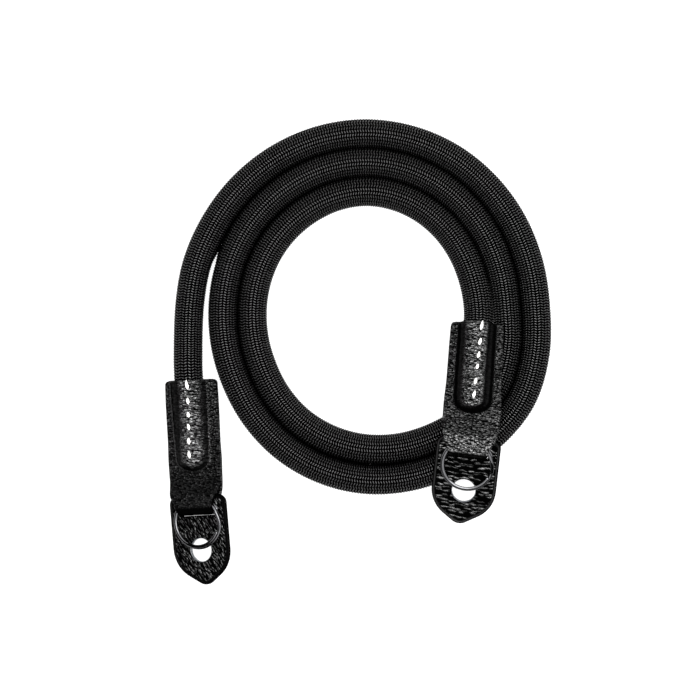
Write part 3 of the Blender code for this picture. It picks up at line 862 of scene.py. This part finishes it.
def rounded_outline(corners, steps=14):
    """A closed outline through corners given as (x, y, radius), each rounded by an arc."""
    points = []
    for index, (x, y, radius) in enumerate(corners):
        corner = np.array((x, y))
        before = unit(np.array(corners[index - 1][:2]) - corner)
        after = unit(np.array(corners[(index + 1) % len(corners)][:2]) - corner)
        half_angle = np.arccos(np.clip(before @ after, -1, 1)) / 2
        middle = corner + unit(before + after) * radius / sin(half_angle)
        start = corner + before * radius / tan(half_angle) - middle
        end = corner + after * radius / tan(half_angle) - middle
        sweep = pi - 2 * half_angle
        t = np.linspace(0, 1, steps + 1)[:, None]
        points.append(middle + (np.sin((1 - t) * sweep) * start + np.sin(t * sweep) * end) / sin(sweep))
    return np.concatenate(points)


def even_loop(points, step):
    """The same closed outline with its points about a step apart."""
    closed = np.concatenate([points, points[:1]])
    run = np.concatenate([[0], np.cumsum(np.linalg.norm(np.diff(closed, axis=0), axis=1))])
    even = np.linspace(0, run[-1], int(run[-1] / step), endpoint=False)
    return np.stack([np.interp(even, run, closed[:, axis]) for axis in range(2)], axis=1)


def slot_outline(length, width, middle_y):
    """A slot with round ends, lying across the pad."""
    radius = width / 2
    turn = np.radians(np.linspace(-90, 90, 15))
    right = np.stack([length / 2 - radius + radius * np.cos(turn), middle_y + radius * np.sin(turn)], axis=1)
    left = np.stack([-right[:, 0], 2 * middle_y - right[:, 1]], axis=1)
    return np.concatenate([right, left])


def round_outline(radius, middle_y):
    turn = np.linspace(0, 2 * pi, 72, endpoint=False)
    return np.stack([radius * np.cos(turn), middle_y + radius * np.sin(turn)], axis=1)


def inset(loop, distance):
    """The outline moved towards its own left-hand side."""
    step = np.roll(loop, -1, axis=0) - np.roll(loop, 1, axis=0)
    return loop + distance * unit(np.stack([-step[:, 1], step[:, 0]], axis=1))


def inside_loop(points, loop):
    """True for points inside a closed outline: a ray to the right crosses it an odd number of times."""
    after = np.roll(loop, -1, axis=0)
    x, y = points[:, 0:1], points[:, 1:2]
    spans = (loop[:, 1] > y) != (after[:, 1] > y)
    height = np.where(after[:, 1] == loop[:, 1], 1e-12, after[:, 1] - loop[:, 1])
    meets = loop[:, 0] + (y - loop[:, 1]) / height * (after[:, 0] - loop[:, 0])
    return (spans & (x < meets)).sum(axis=1) % 2 == 1


def pad_net(rims, seed):
    """Points and triangles that fill the front between the outer rim and the openings' rims: a net of
    even triangles, its points moved a little, joined to the rims."""
    rows = np.arange(-PAD_LENGTH, 0, NET_SPACING * 0.866)
    spots = np.arange(-PAD_WIDTH / 2, PAD_WIDTH / 2, NET_SPACING)
    grid = np.stack(np.meshgrid(spots, rows), axis=-1)
    grid[1::2, :, 0] += NET_SPACING / 2
    grid = grid.reshape(-1, 2)
    shift = [soft_noise(grid + seed, NET_SHIFT_SIZE), soft_noise(grid - seed, NET_SHIFT_SIZE)]
    grid = grid + NET_SPACING * NET_SHIFT * np.stack(shift, axis=1)

    def filled(points, room):
        keep = inside_loop(points, inset(rims[0], room))
        for rim in rims[1:]:
            keep &= ~inside_loop(points, inset(rim, room))
        return keep

    grid = grid[filled(grid, NET_ROOM * NET_SPACING)]
    flat = np.concatenate([*rims, grid])
    starts = np.cumsum([0] + [len(rim) for rim in rims])
    edges = [
        (int(starts[k] + i), int(starts[k] + (i + 1) % len(rim)))
        for k, rim in enumerate(rims)
        for i in range(len(rim))
    ]
    result = delaunay_2d_cdt([Vector(p) for p in flat.tolist()], edges, [], 0, 1e-9)
    found = np.array([tuple(p) for p in result[0]])
    triangles = np.array(result[2])
    nearest = np.array([ids[0] for ids in result[3]])
    keep = filled(found[triangles].mean(axis=1), 0.0)
    return flat, nearest[triangles[keep]], starts


def build_pad(side, spine, end, material):
    """A leather plate. Its front is a net of triangles with soft lumps, and its back the same net turned
    over. From each rim the wall runs out to the outline round a rolled edge and back. The outer one first
    crosses a band with a groove and a low ridge, and the round hole's is a bare cut."""
    seed = end["seed"]
    half = PAD_WIDTH / 2
    taper = PAD_TAPER * PAD_LENGTH
    shoulders = [(half * sign, 0, PAD_SHOULDER_RADIUS) for sign in (-1, 1)]
    sides = [(half * sign, -taper, PAD_SIDE_RADIUS) for sign in (-1, 1)]
    tip = (end["tip_aside"], -PAD_LENGTH, PAD_TIP_RADIUS)
    outer = rounded_outline([shoulders[0], sides[0], tip, sides[1], shoulders[1]])
    slit_length = SLEEVE_WIDTH * STRIP_TABLE[-1][1] + 2 * SLIT_CLEARANCE
    slit_width = SLIT_WIDTH / 2 + LEATHER / 2 + SLIT_GAP_BELOW
    slit_middle = -SLIT_FROM_TOP + SLIT_WIDTH / 2 - slit_width / 2
    loops = [
        even_loop(outer, OUTLINE_STEP),
        even_loop(slot_outline(slit_length, slit_width, slit_middle), OPENING_STEP)[::-1],
        even_loop(round_outline(HOLE_DIAMETER / 2, -HOLE_FROM_TOP), OPENING_STEP)[::-1],
    ]
    rims = [inset(loop, room) for loop, room in zip(loops, (BAND_FROM, EDGE_ROLL, EDGE_ROLL))]
    flat, triangles, starts = pad_net(rims, seed)
    count = len(flat)
    swell = PAD_LUMP_HEIGHT * soft_noise(flat + seed, PAD_LUMP_SIZE)
    swell = swell + PAD_RIPPLE_HEIGHT * soft_noise(flat - seed, PAD_RIPPLE_SIZE)
    points = [
        np.concatenate([flat, (PAD_THICKNESS / 2 + swell)[:, None]], axis=1),
        np.concatenate([flat, np.full((count, 1), -PAD_THICKNESS / 2)], axis=1),
    ]
    faces = [triangles, triangles[:, ::-1] + count]
    grained, cut, wear_and_sheen = [np.ones(2 * count)], [np.zeros(2 * count)], [np.ones(2 * count)]

    turn = np.radians([60, 30, 0])
    roll = [
        (EDGE_ROLL * (1 - np.cos(a)), PAD_THICKNESS / 2 - EDGE_ROLL + EDGE_ROLL * np.sin(a)) for a in turn
    ]
    band = [(inwards, PAD_THICKNESS / 2 + up) for inwards, up in (BAND_GROOVE, BAND_RIDGE, (EDGE_ROLL, 0.0))]
    base = 2 * count
    for k, loop in enumerate(loops):
        size = len(loop)
        belt = [starts[k] + np.arange(size)]
        upper_wall = band + roll if k == 0 else roll
        wall = upper_wall + [(inwards, -up) for inwards, up in upper_wall[::-1]]
        for inwards, up in wall:
            points.append(np.concatenate([inset(loop, inwards), np.full((size, 1), up)], axis=1))
            grained.append(np.zeros(size))
            ridge = up > 0 and inwards == BAND_RIDGE[0]
            wear_and_sheen.append(np.full(size, RIDGE_GLOSS if ridge else EDGE_GLOSS))
            cut.append(np.full(size, 1.0 if k == 2 else 0.0))
            belt.append(base + np.arange(size))
            base += size
        belt.append(count + starts[k] + np.arange(size))
        for upper, lower in zip(belt[:-1], belt[1:]):
            after, below = np.roll(upper, -1), np.roll(lower, -1)
            faces.append(np.stack([after, upper, lower], axis=1))
            faces.append(np.stack([after, lower, below], axis=1))
    points = np.concatenate(points)
    faces = np.concatenate(faces)
    place = np.stack([points[:, 0], points[:, 1] + seed], axis=1)
    mesh = surface_mesh(f"{side}_pad_leather", spine.on_pad(points), faces, [("hide", place[faces])])
    store_wear_and_sheen(mesh, np.concatenate(wear_and_sheen), np.concatenate(grained), np.concatenate(cut))
    add_piece(f"{side}_pad_leather", mesh, material, "pad_leather", f"{side}_pad")


# The rings and the stitches


def build_ring(side, spine, aside, material):
    """Two flat coils of one wire with an oval section, stepping from the lower coil to the upper one where
    the wire's ends meet."""
    step_half = np.radians(RING_STEP_DEG)
    turns = np.linspace(step_half, 4 * pi - step_half, 361)
    rise = ease((turns - 2 * pi + step_half) / (2 * step_half))
    height = PAD_THICKNESS / 2 + PIECE_GAP + ring_height() / 2
    height = height + (RING_WIRE_HEIGHT + RING_COIL_GAP) / 2 * (2 * rise - 1)
    angle = np.linspace(0, 2 * pi, 20, endpoint=False)
    wide = np.cos(angle) * RING_WIRE_WIDTH / 2
    tall = np.sin(angle) * RING_WIRE_HEIGHT / 2
    ends = np.ones(len(turns))
    ends[[0, -1]] = 0.0
    ends[[1, -2]] = RING_END_TAPER
    middle = RING_DIAMETER / 2 - RING_WIRE_WIDTH / 2 + RING_COIL_SHIFT * (1 - 2 * rise)
    radius = middle[:, None] + ends[:, None] * wide[None, :]
    x = np.cos(turns)[:, None] * radius + aside
    y = np.sin(turns)[:, None] * radius - RING_FROM_TOP
    z = height[:, None] + ends[:, None] * tall[None, :]
    points = np.stack([x, y, z], axis=-1).reshape(-1, 3)
    mesh = surface_mesh(f"{side}_split_ring", spine.on_pad(points), loop_faces(len(turns), len(angle)))
    add_piece(f"{side}_split_ring", mesh, material, "ring_metal", f"{side}_ring")


def build_stitches(side, spine, end, material):
    """Waxed stitches on both faces: each a tapered bundle of two twisted plies, which bows over the
    leather from one hole to the next. The left sleeve's last one leaves a thin tail on the front."""
    points, faces, uvs = [], [], []
    base = 0
    t = np.linspace(0, 1, 25)
    angle = np.linspace(0, 2 * pi, 16, endpoint=False)
    taper = np.sin(pi * t)
    plies = 1 + STITCH_PLIES * np.cos(2 * angle[None, :] - 2 * pi * STITCH_TWIST * t[:, None])
    bow = STITCH_BOW * taper - STITCH_SINK
    u = np.arange(len(angle) + 1) / len(angle)
    twist = loop_uvs(u, np.repeat((t * STITCH_TWIST)[:, None], len(u), axis=1))
    for face in (1, -1):
        rows = [(*row, 1.0) for row in STITCH_TABLE]
        if end["tail"] and face == 1:
            rows.append((*THREAD_TAIL, TAIL_WIDTH))
        for first, last, width in rows:
            along = first + t * (last - first)
            share = along / POCKET_LENGTH
            line = end["stitch_at_mouth"] * (1 - share) + end["stitch_at_end"] * share
            line = line + end["stitch_tilt"] * (t - 0.5)
            girth = (width * taper)[:, None] * plies
            across = line[:, None] + girth * np.cos(angle)[None, :] * STITCH_WIDTH / 2
            lift = bow[:, None] + girth * np.sin(angle)[None, :] * STITCH_HEIGHT / 2
            past_pocket = POCKET_END_STEEPNESS * np.maximum(along - POCKET_LENGTH, 0)
            apart = np.hypot(across - spine.pocket_axis(along)[:, None], past_pocket[:, None])
            lift = lift + pocket_height(apart) + LEATHER / 2
            ring = spine.points(across, np.repeat(along[:, None], len(angle), axis=1), face * lift)
            points.append(ring.reshape(-1, 3))
            quads = loop_faces(len(t), len(angle)) + base
            faces.append(quads[:, ::face])
            uvs.append(twist[..., ::face, :].reshape(-1, 2))
            base += len(points[-1])
    mesh = surface_mesh(
        f"{side}_stitches", np.concatenate(points), np.concatenate(faces), [("twist", np.concatenate(uvs))]
    )
    add_piece(f"{side}_stitches", mesh, material, "sleeve_leather")


# Floor, light and camera


def build_stage():
    """A wide pale floor, which glows a little so that it stays white round the strap."""
    corners = FLOOR_HALF * np.array([(-1, -1, 0), (1, -1, 0), (1, 1, 0), (-1, 1, 0)], float)
    mesh = surface_mesh("floor", corners, np.array([[0, 1, 2, 3]]))
    glow = {"Emission_Color": (1, 1, 1, 1), "Emission_Strength": 0.8}
    pale = Finish("pale_floor", Roughness=0.9, Base_Color=(0.3, 0.3, 0.3, 1), **glow)
    mesh.materials.append(pale.material)
    floor = bpy.data.objects.new("floor", mesh)
    bpy.context.scene.collection.objects.link(floor)


def build_light():
    """A wide white ceiling, a brighter soft light in its middle, a low one at the far right, and a dim
    surround."""
    for name, place, aim, size, power in LIGHTS:
        data = bpy.data.lights.new(name, "AREA")
        data.shape = "RECTANGLE"
        data.size = data.size_y = size
        data.energy = power
        light = bpy.data.objects.new(name, data)
        light.location = place
        light.rotation_euler = (Vector(aim) - Vector(place)).to_track_quat("-Z", "Y").to_euler()
        bpy.context.scene.collection.objects.link(light)
    world = bpy.data.worlds.new("surround")
    world.use_nodes = True
    background = world.node_tree.nodes["Background"].inputs
    background["Color"].default_value = (0.95, 0.97, 1.0, 1)
    background["Strength"].default_value = 0.02
    bpy.context.scene.world = world


def build_camera():
    """A long lens straight above: the picture's middle is where its middle pixel falls on the floor."""
    data = bpy.data.cameras.new("eye")
    data.sensor_width = SENSOR
    data.lens = SENSOR * EYE_HEIGHT / (PICTURE * PIXEL)
    data.clip_start = 0.05
    data.clip_end = 10.0
    eye = bpy.data.objects.new("eye", data)
    middle = PICTURE / 2
    eye.location = ((middle - ORIGIN_PIXEL[0]) * PIXEL, (ORIGIN_PIXEL[1] - middle) * PIXEL, EYE_HEIGHT)
    bpy.context.scene.collection.objects.link(eye)
    bpy.context.scene.camera = eye


bpy.context.scene.view_settings.view_transform = "Standard"
build_camera()
spines = {side: Spine(end) for side, end in ENDS.items()}
build_rope(spines, rope_finish())
sleeve_leather = leather_finish(
    "pebbled_leather", *PEBBLES, narrow=2.2, relief=0.00036, low=0.15, shine=0.25, ior=1.78
)
nickel = metal_finish()
thread = thread_finish()
for side, end in ENDS.items():
    spine = spines[side]
    pad_leather = leather_finish(
        f"{side}_creased_leather", *end["crease"], narrow=6.0, relief=0.0006, low=0.45, shine=0.22, ior=1.5
    )
    build_sleeve(side, spine, end, sleeve_leather)
    build_pad(side, spine, end, pad_leather)
    build_ring(side, spine, end["ring_aside"], nickel)
    build_stitches(side, spine, end, thread)
build_stage()
build_light()
